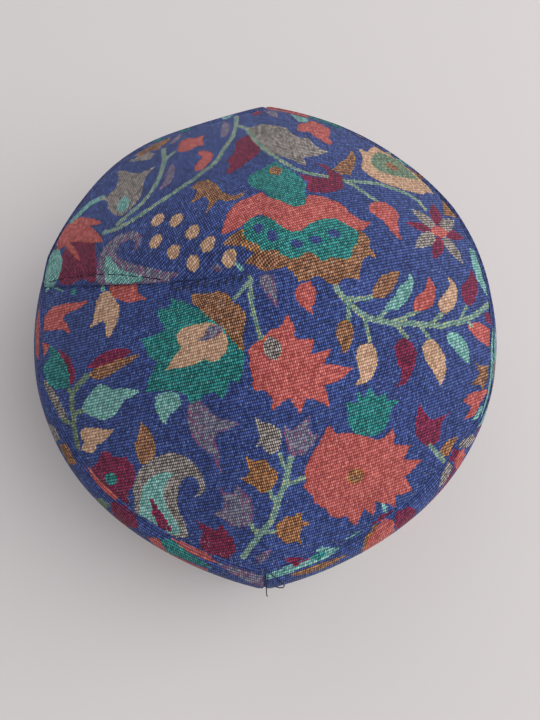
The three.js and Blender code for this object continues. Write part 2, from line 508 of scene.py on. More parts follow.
BACK_SPRAY = [
    patch("coral", (-31.7, 69), (-31, 73.5), (-30, 76), (-27.5, 77), (-25, 75.7), (-21, 76.5),
          (-21.7, 72), (-21.3, 68), (-23.5, 69), (-25.5, 67.5), (-28, 66.5), (-30.5, 67.2)),
    patch("coral", (-23, 64.7), (-20, 63.5), (-17.6, 60.5), (-18, 58), (-19.5, 54.5), (-22, 51),
          (-24.3, 51.5), (-25, 54), (-23.5, 57), (-21.5, 59.5), (-23.4, 62)),
    patch("maroon", (-4, 70), (-2.2, 67), (-0.4, 59), (-0.5, 56), (-2.5, 53.5), (-8, 48.5),
          (-12.3, 45.4), (-13.5, 47), (-11.8, 50.5), (-12.7, 54), (-9.7, 59), (-9.2, 62.5),
          (-8.6, 66.5)),
    patch("grey", (-6, 76.5), (-3.5, 72), (-2.5, 68.5), (-1.5, 64.5), (0, 60), (2, 56), (5, 53),
          (9, 50.5), (12, 48), (14.6, 45.8), (15, 49), (14.5, 51.5), (17, 52.5), (20.5, 54),
          (25.3, 57), (22.5, 58.5), (20.5, 60.5), (18.8, 66), (15, 66), (13, 68.5), (10.7, 73.5),
          (7, 75), (4, 75.5), (1.5, 77), (-1, 75.3)),
    patch("coral", (22.5, 81.7), (25, 80.5), (29.6, 76), (28.7, 72.5), (27.2, 68), (28.3, 64.5),
          (26.5, 62.8), (23.5, 65.5), (21.5, 68), (20, 71.5), (16, 70.8), (15.6, 74), (17, 78),
          (20.5, 79.5)),
    patch("brown", (-26, 42.3), (-23.5, 44.5), (-20.5, 44.5), (-18, 42), (-16.5, 39.5),
          (-15.7, 36.5), (-14, 34), (-11, 32.5), (-7.6, 34.4), (-8.7, 31.8), (-11.5, 30.4),
          (-15, 31), (-16.5, 32.5), (-20.7, 27.5), (-19.5, 32.5), (-20.5, 35.5), (-23, 35.5),
          (-26.3, 33.8), (-24.5, 37), (-23.5, 39.5)),
    patch("maroon", (11.8, 41.3), (15, 40), (19, 39.5), (21.5, 42), (22, 45), (18, 48.7),
          (22, 47.5), (24, 45), (27.5, 41.7), (26.7, 38.5), (26, 35), (23, 33), (18, 31.3),
          (13.5, 31.3), (13, 34), (14.2, 36.5), (12.3, 38.5)),
    stem(1.8, (-7, 78.5), (-4, 75), (-2.5, 68), (-0.5, 61), (1.5, 56), (4.5, 51.5), (7, 48),
         (10, 44.5), (14, 42), (19, 41), (21, 40.7)),
    patch("brown", (24.3, 45.3), (28, 50.5), (31.5, 54), (34.3, 59), (35.2, 61), (35.8, 57),
          (34.5, 52), (32.5, 47), (30.5, 43.6), (27, 43)),
    stem(1.8, (27.5, 39.5), (31, 37.5), (33, 35.5), (36, 33), (39, 31)),
    stem(1.8, (30, 40), (35, 40.5), (40, 41.5), (45, 41.2), (50, 40.5), (55, 39.5), (58, 37.5),
         (60, 34)),
]

STAR_SPRAY = [
    patch("coral", (34, 25.5), (35, 29), (38, 31), (41.5, 31.5), (44.5, 30), (46.4, 27.5), (45, 23),
          (44.5, 19), (45, 16), (44, 15.5), (40.5, 19), (39, 22), (36, 23.7)),
    leaf("maroon", (66, 24.5), (77.5, 25.8), 5),
    leaf("maroon", (62, 23.5), (48.5, 24), 4),
    leaf("maroon", (64.5, 22), (58.3, 10.8), 5),
    leaf("maroon", (64, 26.5), (65.5, 38.5), 6),
    leaf("grey", (63.5, 25), (52.8, 31.8), 6),
    leaf("grey", (65, 25.5), (74.3, 33.2), 5.5),
    leaf("grey", (62, 23), (50.5, 13.8), 5.5),
    leaf("grey", (65, 23), (73.5, 13), 6),
    spot("coral", (64.3, 24.4), 4.2, 2.5, 15),
]

RIGHT_BRANCH = [
    stem(2, (18, -5.5), (20, -8), (22.5, -10), (26, -12.5), (29.5, -14.2), (35, -14.7), (40, -15),
         (45, -14.2), (50, -14), (55, -13.7), (60, -13.5), (65, -11.7), (70, -10), (75, -7.7),
         (80.8, -4), (90, 3)),
    stem(1.5, (20.5, -8.5), (25, -8.7), (32, -7)),
    stem(1.5, (33, -14), (36.5, -11)),
    stem(1.5, (39, -14.5), (42.5, -13), (46.5, -11), (49.5, -9.3)),
    stem(1.5, (54, -13.7), (60, -9)),
    stem(1.5, (68, -10.5), (72, -4.5)),
    stem(1.5, (40, -15.2), (44.5, -19)),
    stem(1.5, (50, -14.7), (53.5, -18)),
    stem(1.5, (22.5, -10), (23, -15.3)),
    stem(1.5, (28, -13.5), (30.5, -21)),
    stem(1.5, (71.5, -9.5), (74, -11.5)),
    leaf("brown", (31, -7.5), (42.3, 3.3), 6),
    patch("seafoam", (46.5, 3.6), (48.2, 1), (47, -3), (44.5, -7), (41, -10), (35.5, -11.4),
          (36.5, -9), (40, -5.5), (42, -2), (45.4, 0.5)),
    patch("coral", (55.2, 3.8), (57.5, 0), (57, -3.5), (55.5, -7), (51.5, -9.2), (47.3, -9.8),
          (47.2, -7), (49.5, -4), (53, -1.5), (54, 1.5)),
    patch("beige", (63.8, 5.4), (66.5, 4.6), (68.5, 1.5), (67.5, -3), (65, -6.5), (61.5, -8.8),
          (59, -8), (58.2, -5), (61, -2), (64, 1), (65, 3)),
    patch("maroon", (77.2, 11.6), (79.5, 8.5), (79.2, 3), (77, -1.5), (74, -4.2), (71, -3), (70, 0),
          (70.5, 3), (74, 6), (76, 9)),
    patch("brown", (19, -18.5), (20, -16), (22.5, -15.4), (24.8, -17.5), (25, -21), (23.5, -25),
          (22, -26.2), (21.2, -23.5), (19.2, -21)),
    patch("beige", (26.5, -25), (27.2, -23), (29.5, -22), (32, -22.4), (34, -25.5), (34, -29),
          (32.5, -33), (30, -35), (26.8, -35.6), (28.5, -33), (28, -30.5), (26.7, -28)),
    patch("maroon", (39.7, -22.5), (41, -20), (44, -19.2), (47, -21), (48.5, -24), (47.7, -28.5),
          (46.5, -32), (44.5, -34.5), (41.2, -35.4), (43.2, -33.5), (43.2, -30), (41, -26.5)),
    patch("beige", (50.5, -22), (52, -19.2), (55, -18.5), (58, -20.5), (60.5, -24), (61, -28),
          (60, -32.5), (58.5, -34.7), (57.5, -32), (54.5, -28), (52, -25.5)),
    patch("seafoam", (61.5, -16.5), (63, -15), (66.5, -15), (70, -17), (72, -20), (72, -25.6),
          (70, -25), (66, -22), (62.5, -19)),
]

CENTRE_FLOWERS = [
    patch("mauve", (-6.5, -4.3), (-5, -3.3), (-2, -3.5), (-0.5, -6.5), (0, -10), (0.8, -14),
          (-1.5, -11.5), (-4.5, -8.3)),
    patch("coral", (5.2, -8), (6.5, -5.6), (9.5, -4.3), (11.5, -7), (11.8, -10), (10.6, -12.5),
          (11.2, -14.7), (8.5, -13), (6.2, -11)),
    stem(1.6, (-9.5, -3), (-8.7, -7), (-7.7, -11.5), (-6.5, -16), (-5, -20), (-3, -24)),
    stem(1.8, (-9, -5), (-13, -11.5)),
    patch("coral", (3.5, -15.3), (6, -19), (6.5, -22.6), (12.5, -22.4), (12, -26.8), (18.2, -25),
          (16, -29.6), (25.6, -30.2), (23.5, -33), (20, -35.5), (16, -36.5), (18, -37.5),
          (19.6, -43.2), (16.5, -41.5), (12, -40.7), (10.5, -46), (8.5, -43), (6.5, -41),
          (2, -45.7), (2, -42), (-0.5, -39.5), (-4.2, -39.8), (-4.6, -36.5), (-5.8, -32),
          (-6.7, -27.5), (-5.5, -25.3), (-3, -24), (-1, -20.5), (2, -19.5)),
    spot("grey", (0.2, -26.3), 2.7, 3.7, 20),
    patch("teal", (-35.6, -10.6), (-30, -12), (-26, -15), (-20, -17), (-13, -24), (-9, -27.5),
          (-7.7, -29.5), (-7.8, -35), (-8.5, -37.8), (-11.5, -37.5), (-12.2, -41), (-13.2, -43.8),
          (-16, -42), (-19.5, -43.2), (-20.7, -45.5), (-23, -47.3), (-25, -44.5), (-29, -43),
          (-34, -44), (-39.5, -45), (-38.5, -40), (-36.5, -34.5), (-40, -33), (-42, -30),
          (-44.7, -27.4), (-40, -26), (-35.5, -23), (-38.5, -18.7), (-39.4, -15.2), (-34.8, -14.5)),
    patch("brown", (-28.7, -9), (-22, -8.7), (-19, -8.2), (-16.5, -9.5), (-13.5, -13),
          (-10.5, -14.5), (-8.7, -17), (-8.5, -20), (-9, -23.5), (-7.8, -28.7), (-11, -26),
          (-15, -22), (-20.5, -18.5), (-24, -16), (-27, -13)),
    patch("beige", (-31, -24.5), (-29.5, -22.5), (-25, -21), (-20.5, -20), (-17, -21),
          (-14.5, -23.4), (-13.2, -25.5), (-13.5, -29), (-15.5, -31.5), (-18.5, -32.6),
          (-20.5, -32), (-22.5, -33.5), (-25.5, -35), (-33, -36.9), (-31.5, -33.5), (-28.2, -28.8),
          (-30, -27.5)),
    patch("mauve", (-20.5, -21.3), (-16, -20.5), (-15.2, -22.5), (-18, -25), (-21.5, -26.7),
          (-22.8, -26), (-21, -24)),
]

FRONT_FLOWERS = [
    patch("teal", (28, -37.5), (30.5, -39.5), (32.5, -35.8), (34.5, -39), (38.5, -37.3),
          (38.5, -40), (43.3, -39.6), (40.7, -43), (40.2, -46.5), (39, -49.5), (36.5, -51.6),
          (29.5, -51.6), (26.5, -48.5), (26, -45), (24.8, -41.3), (28.5, -41)),
    patch("coral", (20, -48.8), (23, -51.5), (26.5, -51), (30, -51.5), (35, -52.2), (37.5, -53),
          (40, -51.7), (42.3, -49), (43.6, -54.4), (49.7, -54.4), (47.5, -59.4), (55.2, -59.4),
          (52, -62.5), (49, -65.5), (53.2, -70.2), (46.5, -72), (47.3, -76.4), (44.5, -75),
          (39.6, -74), (39.6, -78.8), (35.6, -76.5), (34, -82.7), (29.5, -79), (26.5, -80),
          (24.5, -79), (22.5, -76.5), (19, -75), (18, -72.5), (14.3, -69.5), (15, -67),
          (14.2, -63.5), (15, -61), (16, -58), (18, -54)),
    spot("golden", (31, -65.3), 2.9, 2.6),
    patch("maroon", (51.3, -40.2), (54, -43.5), (57.2, -45.5), (60, -44.6), (63.8, -43),
          (61, -46.5), (61.5, -49.5), (61.2, -52.5), (59, -54.3), (56, -54.6), (53, -53), (51, -50),
          (50.6, -46.5)),
    stem(1.8, (57.5, -54.5), (61, -57.2), (64.5, -60)),
    patch("golden", (62, -56.3), (63.5, -54), (66, -52), (69.7, -51.1), (67.5, -54.5), (66, -58),
          (64, -58)),
]

LOWER_BRANCH = [
    stem(1.9, (-2.5, -95.5), (-0.5, -92), (1.5, -88.5), (3.5, -84.5), (5.5, -81.5), (6.5, -77.5),
         (7, -74), (8, -70.5), (8.7, -66.5), (9, -62.5), (9.5, -59.5)),
    stem(1.5, (8.7, -64.5), (7, -62), (5.7, -59.2)),
    stem(1.5, (6, -75), (4, -71.5), (3, -70)),
    stem(1.5, (8.5, -69.5), (12, -67.5), (15, -66.2)),
    stem(1.5, (2, -86), (5, -85.5), (8.5, -85)),
    stem(1.5, (1, -86.5), (-0.5, -84), (-2.5, -82.5)),
    patch("grey", (-3.2, -48), (0, -49.5), (3, -50), (5.2, -51.5), (6, -55), (5.5, -58), (3, -59.6),
          (1.2, -58.5), (0, -56.5), (-2, -57.9), (-0.5, -54.5), (-1.8, -52)),
    patch("mauve", (5.8, -49.2), (8, -51.5), (10, -50), (13.6, -46.2), (13.8, -49.5), (15, -52),
          (17.3, -52.4), (15.5, -56), (13, -59), (10, -59.6), (8, -57.5), (6.5, -54)),
    patch("golden", (-4.8, -60.8), (-2, -62.5), (0, -62), (1.2, -61), (3.5, -63.5), (5.8, -65),
          (5.8, -68), (4.5, -70.5), (1.5, -72.7), (-1, -70.5), (-5.4, -68.8), (-3, -67),
          (-3.2, -64.5)),
    patch("mauve", (-12.2, -72.5), (-10, -74), (-7.5, -74), (-6.2, -70.7), (-4.5, -72.5),
          (-2, -74.5), (-0.5, -78), (-0.5, -82.5), (-2.5, -84.5), (-7, -85.6), (-9, -83.5),
          (-13.3, -82), (-10, -79.5), (-10.2, -76.5)),
    patch("golden", (7.3, -82.5), (10, -80), (12.5, -79.5), (14.8, -77.8), (15, -81), (18.4, -81.7),
          (15.5, -83.5), (15, -85.5), (16.6, -89.7), (14, -88.5), (11.5, -89.6), (9.5, -88),
          (7.3, -85.7)),
    patch("maroon", (-18.8, -85.2), (-15.5, -86.7), (-11.8, -87.6), (-10.5, -85), (-8.5, -87.5),
          (-6, -90), (-5, -93.5), (-7, -97), (-12, -98), (-16, -96), (-17, -92.5), (-16.3, -89)),
]

FRONT_LEFT = [
    patch("seafoam", (-36, -46.5), (-34.5, -44.8), (-31, -43.6), (-27.5, -44), (-26.4, -46.5),
          (-28, -49.5), (-30.5, -51.5), (-31.4, -54.8), (-33.5, -53), (-35.3, -50)),
    patch("maroon", (-64, -40), (-61, -36), (-57.3, -33.3), (-53.8, -31.8), (-49.8, -31),
          (-46.5, -31.8), (-50.5, -35), (-55.3, -37), (-60.2, -39.3)),
    patch("brown", (-63, -42.3), (-60.2, -39.3), (-55.3, -37), (-50.5, -35), (-43.4, -32.4),
          (-46.5, -35.7), (-50.5, -38.4), (-54, -41), (-56.8, -42.9), (-60.2, -43.3)),
    patch("teal", (-83, -34.2), (-80, -35.3), (-76, -37.3), (-73, -40), (-71, -43.5),
          (-70.4, -47.8), (-73, -48.8), (-76.5, -49.3), (-80, -48), (-84, -43), (-81.5, -38)),
    patch("maroon", (-79, -35), (-75, -35.7), (-71.5, -37.7), (-69, -41.3), (-68, -44.5),
          (-70.2, -47.5), (-71, -43.5), (-73, -40), (-76, -37.3)),
    stem(2, (-63.3, -42.5), (-65, -44.5), (-67, -47), (-68.7, -49.5), (-68.7, -52.5), (-68, -56),
         (-67, -59.5), (-65.5, -65), (-64, -68), yarn="green"),
    stem(1.6, (-67.5, -58), (-65.5, -56), (-63.5, -55), yarn="green"),
    stem(1.6, (-70.5, -49), (-68.7, -49.5), yarn="green"),
    stem(1.6, (-72, -60), (-67.5, -60.5), yarn="green"),
    patch("seafoam", (-64, -54), (-62.5, -50.5), (-60, -46.5), (-58, -45), (-55, -45), (-52, -46.2),
          (-49.5, -45.2), (-46, -44.7), (-41.7, -45), (-44.5, -47.5), (-47.5, -49), (-48.5, -51.5),
          (-50.5, -54.5), (-53, -56.5), (-56, -57.2), (-59.5, -56.5), (-62, -56)),
    patch("beige", (-64, -63), (-62, -61), (-57.5, -60.2), (-53, -60), (-49.8, -58.9),
          (-51.5, -61.5), (-54, -64.5), (-57, -66), (-56.7, -67.8), (-58.5, -69.4), (-63, -68.8),
          (-61.7, -66.5)),
    patch("brown", (-40.2, -55), (-38, -56.5), (-35.5, -59), (-34.2, -62), (-34.5, -66),
          (-36.5, -68.5), (-39, -69.5), (-41, -66.5), (-41.7, -63), (-40.7, -59.5)),
    patch("mauve", (-24.3, -47), (-20.5, -45.3), (-18, -47), (-16, -49), (-13.5, -50),
          (-7.3, -50.7), (-10, -53), (-13.7, -54.5), (-14.5, -56.5), (-13.5, -60), (-12.5, -64),
          (-11, -68.3), (-13.5, -65.5), (-15.2, -62), (-18.5, -60.5), (-21, -58.5), (-23, -55.5),
          (-24.3, -51.5)),
    patch("coral", (-61, -9), (-57.5, -8), (-50, -6.8), (-49, -9.5), (-44.3, -12), (-47.5, -12.2),
          (-49.5, -13.3), (-52.5, -13.8), (-56, -13), (-58.8, -12)),
    patch("beige", (-65.5, -15), (-64, -12), (-62, -10.6), (-60, -11), (-57.5, -13), (-55, -15.5),
          (-54.2, -19), (-55, -24), (-56.3, -27.4), (-57.7, -27.2), (-58.7, -24.3), (-60.3, -21.5),
          (-63, -23.4), (-66.2, -25.5), (-64.6, -21.5), (-65.3, -18.5)),
]

GREY_PAISLEY = [
    patch("grey", (-40.5, -88), (-40.7, -83), (-41.7, -79), (-41, -75), (-39.5, -71.5),
          (-37, -68.5), (-33.5, -66), (-31, -64.3), (-27.5, -63.5), (-23, -64.5), (-19.5, -67),
          (-17, -70.5), (-16.2, -73.5), (-17.5, -75.7), (-20, -77.4), (-18.5, -75), (-18.4, -72.5),
          (-20, -70.7), (-22.5, -70.5), (-24.5, -72.5), (-25.5, -75.5), (-25.5, -80), (-24.2, -84),
          (-22, -87.5), (-21, -92), (-30, -93)),
    patch("seafoam", (-38.7, -87), (-38.7, -82), (-38, -77.5), (-35.5, -73.5), (-31.5, -71),
          (-27, -70), (-28.7, -72.3), (-30, -75), (-30.5, -79), (-29.5, -82), (-27, -85.5),
          (-23.5, -90), (-25.5, -92), (-36, -91)),
    patch("maroon", (-35.3, -79.5), (-32.5, -83), (-29.5, -86.5), (-26.7, -90.5), (-31, -91.5),
          (-34, -86)),
    patch("maroon", (-58, -74.5), (-55, -71), (-54.5, -68.5), (-52, -67.4), (-49.5, -69),
          (-47, -68.5), (-44.5, -68), (-42.5, -70), (-41, -73), (-41.5, -77), (-43.5, -80),
          (-43, -83.5), (-46, -86), (-56, -80)),
    spot("teal", (-50, -76.7), 2.3, 2.3),
]

# Flowers that the crown seam cuts off
CUT_FLOWERS = [
    patch("brown", (-50, 75), (-45, 77.5), (-39, 80), (-35, 81.5), (-35.5, 78), (-38.5, 75.5),
          (-40, 73), (-42.5, 74.5), (-45, 73.5), (-47.5, 73)),
    patch("grey", (-52.5, 72), (-48, 73), (-43, 73.5), (-41, 71), (-43, 68), (-47, 69.5),
          (-50, 70.5)),
    patch("mauve", (-35, 76), (-33, 80.5), (-30.5, 82), (-31, 78), (-33, 75)),
    patch("mauve", (-14.5, 72), (-12, 72), (-10.5, 78), (-10.8, 82), (-13, 86), (-14, 80)),
    patch("seafoam", (14.5, 87), (17, 86), (22, 83), (20.5, 79.8), (17.5, 79.8), (16, 83)),
    patch("maroon", (-1.5, 87.5), (2, 90), (3.5, 87), (0.5, 85)),
    patch("mauve", (4, 88), (8, 88.5), (9.5, 85), (8.5, 82), (5.5, 84)),
    patch("beige", (38.5, 63), (40, 63.7), (42, 62), (44.5, 65.5), (47, 69), (56, 63), (66, 50),
          (68, 45), (64, 44.5), (62, 42.5), (54, 41.7), (45, 42.7), (41, 44), (38.5, 46),
          (36.7, 49), (37, 51.5), (38.5, 55), (39.2, 59)),
    patch("green", (45, 61.5), (48, 65), (56, 62), (63, 51.5), (58, 50.5), (50, 49.5), (46, 49.7),
          (43, 51), (41.7, 54), (42.7, 57.5)),
    spot("brown", (51.5, 56), 3, 2.5),
    patch("coral", (72, -12), (75, -10), (78, -9.5), (84, -11), (83, -18), (78, -16.5),
          (74.5, -14.5)),
    patch("brown", (74.8, -24), (77.5, -25.6), (82, -25), (81, -30), (79, -34), (77, -32.4),
          (72.3, -32.9), (75.5, -30.2), (77, -28.5)),
    patch("coral", (69.3, -38.8), (72, -36), (75, -35), (82, -33.5), (77.5, -39), (75.5, -43),
          (73, -44.2), (70.5, -45.4), (72.5, -42), (73.5, -40)),
    patch("maroon", (66, -57.5), (69, -53.5), (70, -55), (67, -59)),
    patch("maroon", (39.5, -82.5), (42, -79), (45.5, -77.3), (48, -77), (45, -81)),
    patch("seafoam", (42, -74.7), (44, -75.5), (44, -78), (42.8, -78)),
    patch("seafoam", (31, -87.5), (35, -84.7), (37, -85), (33, -88.5)),
    patch("mauve", (1.5, -95), (4, -92.5), (6.5, -91.8), (6, -94.5), (3, -97)),
    patch("maroon", (11, -95), (13.5, -94.2), (17.5, -94.4), (14, -97)),
    patch("seafoam", (20.5, -92), (23, -90.2), (25.5, -90.4), (24, -92.5)),
    patch("seafoam", (78, -39.2), (79.5, -40.8), (78, -44), (74, -45.6), (75.6, -43.2), (77, -41)),
    patch("maroon", (81, -5.5), (86.5, -3.5), (90, -9), (88.8, -10.8), (82.4, -8.8)),
    patch("seafoam", (78.8, 21.6), (82.4, 20.4), (86, 14), (89, 7), (90, 0), (86, 1.2), (83.2, 3.2),
          (80, 7.6), (78.8, 13.2)),
    patch("golden", (72, 43), (76, 40), (79, 36.5), (77, 35), (69.6, 34.5), (70.5, 39)),
    patch("coral", (-91, -33.5), (-83.2, -34.4), (-84, -37.2), (-85.6, -39.6), (-90, -39)),
    patch("grey", (-85, -46), (-80.4, -47.6), (-75.2, -52), (-72, -56), (-70, -59.5),
          (-73.2, -59.5), (-79, -56), (-85, -50)),
    patch("coral", (-95, -27), (-89.6, -25), (-88.4, -23), (-86, -20.4), (-83.2, -19.2),
          (-78.4, -17.6), (-68.4, -15.2), (-72, -18), (-75, -20), (-78.5, -21.5), (-79.5, -23.5),
          (-76.5, -25.5), (-73.5, -28.7), (-78, -27.4), (-85, -29), (-92, -30.5)),
    patch("seafoam", (-95, -17), (-93, -13), (-87.6, -11.2), (-82, -13.6), (-84.8, -13.4),
          (-89.2, -12.8)),
    spot("teal", (-77, -13), 1.2, 1.2),
    spot("seafoam", (-63.5, -10), 1.2, 1.2),
]

WHOLE_FLOWERS = [
    LOTUS, DOTS, LEFT_TULIPS, HOOKED_PAISLEY, BACK_SPRAY, STAR_SPRAY, RIGHT_BRANCH,
    CENTRE_FLOWERS, LOWER_BRANCH, FRONT_FLOWERS, FRONT_LEFT, GREY_PAISLEY,
]

# The strip of the side next to the crown seam: along from the front point, height below the seam
LEFT_STRIP = [
    patch("mauve", (17.5, -2.6), (12, -1.5), (5, -1.5), (0.3, -2.4), (0.3, -7.5), (4, -6.8),
          (10, -5.2)),
    patch("coral", (35.5, -1.2), (28, -0.3), (21, -0.6), (16.5, -2.4), (22, -3.2), (29, -3)),
    patch("coral", (44, -6.5), (39.5, -3.9), (35, -8.8), (28, -7.6), (20, -7.2), (20, -8.6),
          (30, -9.6), (36, -11)),
    patch("teal", (39, -3.8), (35, -1.5), (28.5, -3), (22, -4.2), (18, -6), (25, -6.6), (30, -7.4),
          (34.5, -9)),
    patch("maroon", (61, -3), (56, -0.6), (50.5, -1.2), (47.5, -5), (52, -8.8), (57, -9.8)),
    patch("coral", (56, -9.6), (52, -8.6), (51, -10.4), (54.5, -11.4)),
    patch("green", (68, -9.5), (64.5, -5), (60.5, -4.6), (61.5, -9)),
    patch("coral", (78, 0.5), (60, 0.5), (60, -1.4), (66, -2.2), (72, -1.6)),
    patch("golden", (90, -6), (88, -2.3), (81, -3.2), (79.5, -2), (80.5, -5), (82.5, -7.5)),
    patch("grey", (103, -11), (96, -4), (91, -4.2), (92, -8), (98, -12)),
    patch("coral", (122, -2.5), (134, -1.5), (146, -2.6), (138, -5), (126, -5.2)),
]

RIGHT_STRIP = [
    patch("seafoam", (0.3, -1.6), (5, -0.9), (10, -0.5), (18, 0.8), (24.5, 0.3), (28, -1.6),
          (22, -3.2), (13, -3.2), (5, -3.4), (0.3, -4)),
    patch("maroon", (8.5, 0.6), (13, 0.8), (16.5, -0.8), (11, -1.4)),
    patch("teal", (17, 0.8), (22, 0.4), (22.5, -1.6), (19.5, -2.6), (17.5, -1.4)),
    patch("brown", (8, -3.8), (16, -4), (24, -4.4), (31, -5.6), (22, -7.2), (12, -6)),
    patch("coral", (35, -9.4), (37.5, -4), (42, -1.6), (47, -0.4), (49.5, -3), (48.5, -8),
          (45, -10.8), (39, -11)),
    stem(1.4, (36, -7), (38.5, -3), (43, -1), yarn="golden"),
    patch("maroon", (50, -3), (52, -0.8), (57, -2.4), (59, -6), (56, -10), (51, -10.6), (49.5, -7)),
    patch("grey", (70, -6), (74, -2.6), (79, -1.6), (79.5, -4), (74, -6.6)),
    stem(2.2, (65, -10), (71, -8.6), (79, -6.4), yarn="maroon"),
    patch("coral", (79.5, -5), (83, -2.6), (87, -4), (85, -8), (80, -9.5)),
    patch("maroon", (79.5, -1), (84.5, -0.6), (85, -3), (80.5, -4)),
    patch("grey", (85.5, -1.4), (89, -0.8), (93, -3), (93, -7), (88.5, -5.6)),
    stem(1.6, (93, -7.6), (97, -6), (100, -5), yarn="maroon"),
    patch("seafoam", (96, -2.6), (104, -0.8), (116, 0.4), (128, 0.2), (138, -2.6), (134, -5.4),
          (128, -5.2), (124, -8.4), (116, -7.6), (110, -10.2), (105, -7), (99, -6.6)),
    patch("maroon", (103, -4.6), (112, -3.8), (124, -4.2), (117, -6.4), (110, -6.8)),
]
STRIP_DEPTH = 10
STRIP_LENGTH = 190

# Where the same flowers come round again on the side: along and height, turn in degrees,
# mirrored or not, and the stretch of the side that takes them
WHOLE_LENGTH = (0, 290)
LEFT_REPEATS = (
    (WHOLE_FLOWERS, (62, -38), -20, -1, (0, 128)),
    (WHOLE_FLOWERS, (205, -33), 75, -1, (128, 290)),
    ([STAR_SPRAY], (193, -71), 10, -1, WHOLE_LENGTH),
    ([GREY_PAISLEY[:3]], (97, 41), 15, -1, WHOLE_LENGTH),
)
RIGHT_REPEATS = (
    (WHOLE_FLOWERS, (70, -36), -12, 1, (0, 140)),
    (WHOLE_FLOWERS, (214, -40), 100, 1, (140, 290)),
    ([HOOKED_PAISLEY], (76, -46), 0, 1, WHOLE_LENGTH),
)


def paint(yarn, motif, u, v):
    near = (u > motif.low[0]) & (u < motif.high[0]) & (v > motif.low[1]) & (v < motif.high[1])
    near = np.flatnonzero(near)
    yarn[near[motif.covers(u[near], v[near])]] = motif.yarn


def crown_yarn(u, v):
    yarn = np.full(u.shape, GROUND)
    for flowers in [CUT_FLOWERS, *WHOLE_FLOWERS]:
        for motif in flowers:
            paint(yarn, motif, u, v)
    return yarn


def placed(motif, at, turn, mirror):
    across, up = turned(*(motif.points * (mirror, 1)).T, turn)
    points = np.column_stack((at[0] + across, at[1] + up))
    return Motif(YARN_NAMES[motif.yarn], points, motif.width)


def side_yarn(along, height, repeats, strip):
    yarn = np.full(along.shape, GROUND)
    for groups, at, turn, mirror, reach in repeats:
        for flowers in groups:
            spray = [placed(motif, at, turn, mirror) for motif in flowers]
            heart = np.mean([motif.heart[0] for motif in spray])
            if not reach[0] <= heart < reach[1]:
                continue
            for motif in spray:
                if motif.width or motif.high[1] < -STRIP_DEPTH or motif.low[0] > STRIP_LENGTH:
                    paint(yarn, motif, along, height)
    yarn[(height > -STRIP_DEPTH) & (along < STRIP_LENGTH)] = GROUND
    for motif in strip:
        paint(yarn, motif, along, height)
    return yarn


# Making the cloth

def put_in_scene(name, data):
    thing = bpy.data.objects.new(name, data)
    bpy.context.scene.collection.objects.link(thing)
    return thing


def mesh_object(name, bm, materials):
    mesh = bpy.data.meshes.new(name)
    bm.to_mesh(mesh)
    bm.free()
    for material in materials:
        mesh.materials.append(material)
    return put_in_scene(name, mesh)


def finish_piece(name, bm, materials):
    piece = mesh_object(name, bm, materials)
    faces = piece.data.polygons
    faces.foreach_set("use_smooth", [True] * len(faces))
    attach(piece, "root")
    return piece


def give_thickness(bm):
    """A second skin on the inside, joined to the first along every cut edge."""
    source = bm.verts.layers.int.new("source")
    inside = []
    for number, vert in enumerate(bm.verts):
        vert[source] = number
        inside.append(vert.co - vert.normal * CLOTH * MM)
    skin = bm.faces[:]
    bmesh.ops.reverse_faces(bm, faces=skin)
    whole = bm.verts[:] + bm.edges[:] + skin
    raised = bmesh.ops.extrude_face_region(bm, geom=whole, use_keep_orig=True)
    for part in raised["geom"]:
        if isinstance(part, bmesh.types.BMVert):
            part.co = inside[part[source]]
    inner = [part for part in raised["geom"] if isinstance(part, bmesh.types.BMFace)]
    known = {*skin, *inner}
    return inner, [face for face in bm.faces if face not in known]


# Places on the bake map: the outer face, the inner face beside it, the cut edges in a strip below
MAP_OUTER = (0.01, 0.70)
MAP_INNER = (0.72, 0.99)
MAP_FACES = (0.03, 0.99)
MAP_EDGES = (0.004, 0.016)
MAP_MARGIN = 0.1
INNER_MATERIAL = 1


def spread_over(values, span):
    return span[0] + (span[1] - span[0]) * ((values - values.min()) / np.ptp(values))


def map_inside(bake_map, inner, edges):
    """Moves the inner face beside the outer one, and gives each cut edge a place of its own."""
    shrink = (MAP_INNER[1] - MAP_INNER[0]) / (MAP_OUTER[1] - MAP_OUTER[0])
    for face in inner:
        face.material_index = INNER_MATERIAL
        for loop in face.loops:
            u, v = loop[bake_map].uv
            loop[bake_map].uv = (MAP_INNER[0] + (u - MAP_OUTER[0]) * shrink, v)
    step = 1 / (len(edges) + 1)
    low, high = MAP_EDGES
    for number, face in enumerate(edges):
        left = (number + MAP_MARGIN) * step
        right = (number + 1 - MAP_MARGIN) * step
        corners = ((left, low), (right, low), (right, high), (left, high))
        for loop, corner in zip(face.loops, corners):
            loop[bake_map].uv = corner


# A dash starts this share of a column before its cell of the grid does
DASH_SHIFT = 0.25
DASHES_OF_CELL = ("first", "second", "third")
NEIGHBOURS = ((np.s_[:, 1:], np.s_[:, :-1]), (np.s_[1:], np.s_[:-1]))


def dash_colours(columns, picks, flat, chart):
    """The colours that show on a cloth, pick by pick: of each dash, and of the gap round it."""
    pick, number = np.mgrid[0:picks, 0:columns + 1]
    across = number.ravel() + 0.5 - DASH_SHIFT - columns / 2
    up = pick.ravel() + 0.5 - picks / 2
    yarn = chart(*flat(np.column_stack((across, up)))).reshape(pick.shape)
    edge = np.zeros(yarn.shape, bool)
    for here, beside in NEIGHBOURS:
        changes = yarn[here] != yarn[beside]
        edge[here] |= changes
        edge[beside] |= changes
    luck = CLOTH_DICE.random((2, picks // PICKS, columns + 1, 1)).repeat(PICKS, axis=1)
    dash = np.where(luck[0] < FLECK_SHARE, FLECK[yarn], DASH[yarn])
    dash = np.where(edge[..., None] & (luck[1] < EDGE_SHARE), EDGE[yarn], dash)
    return dash, GAP[yarn]


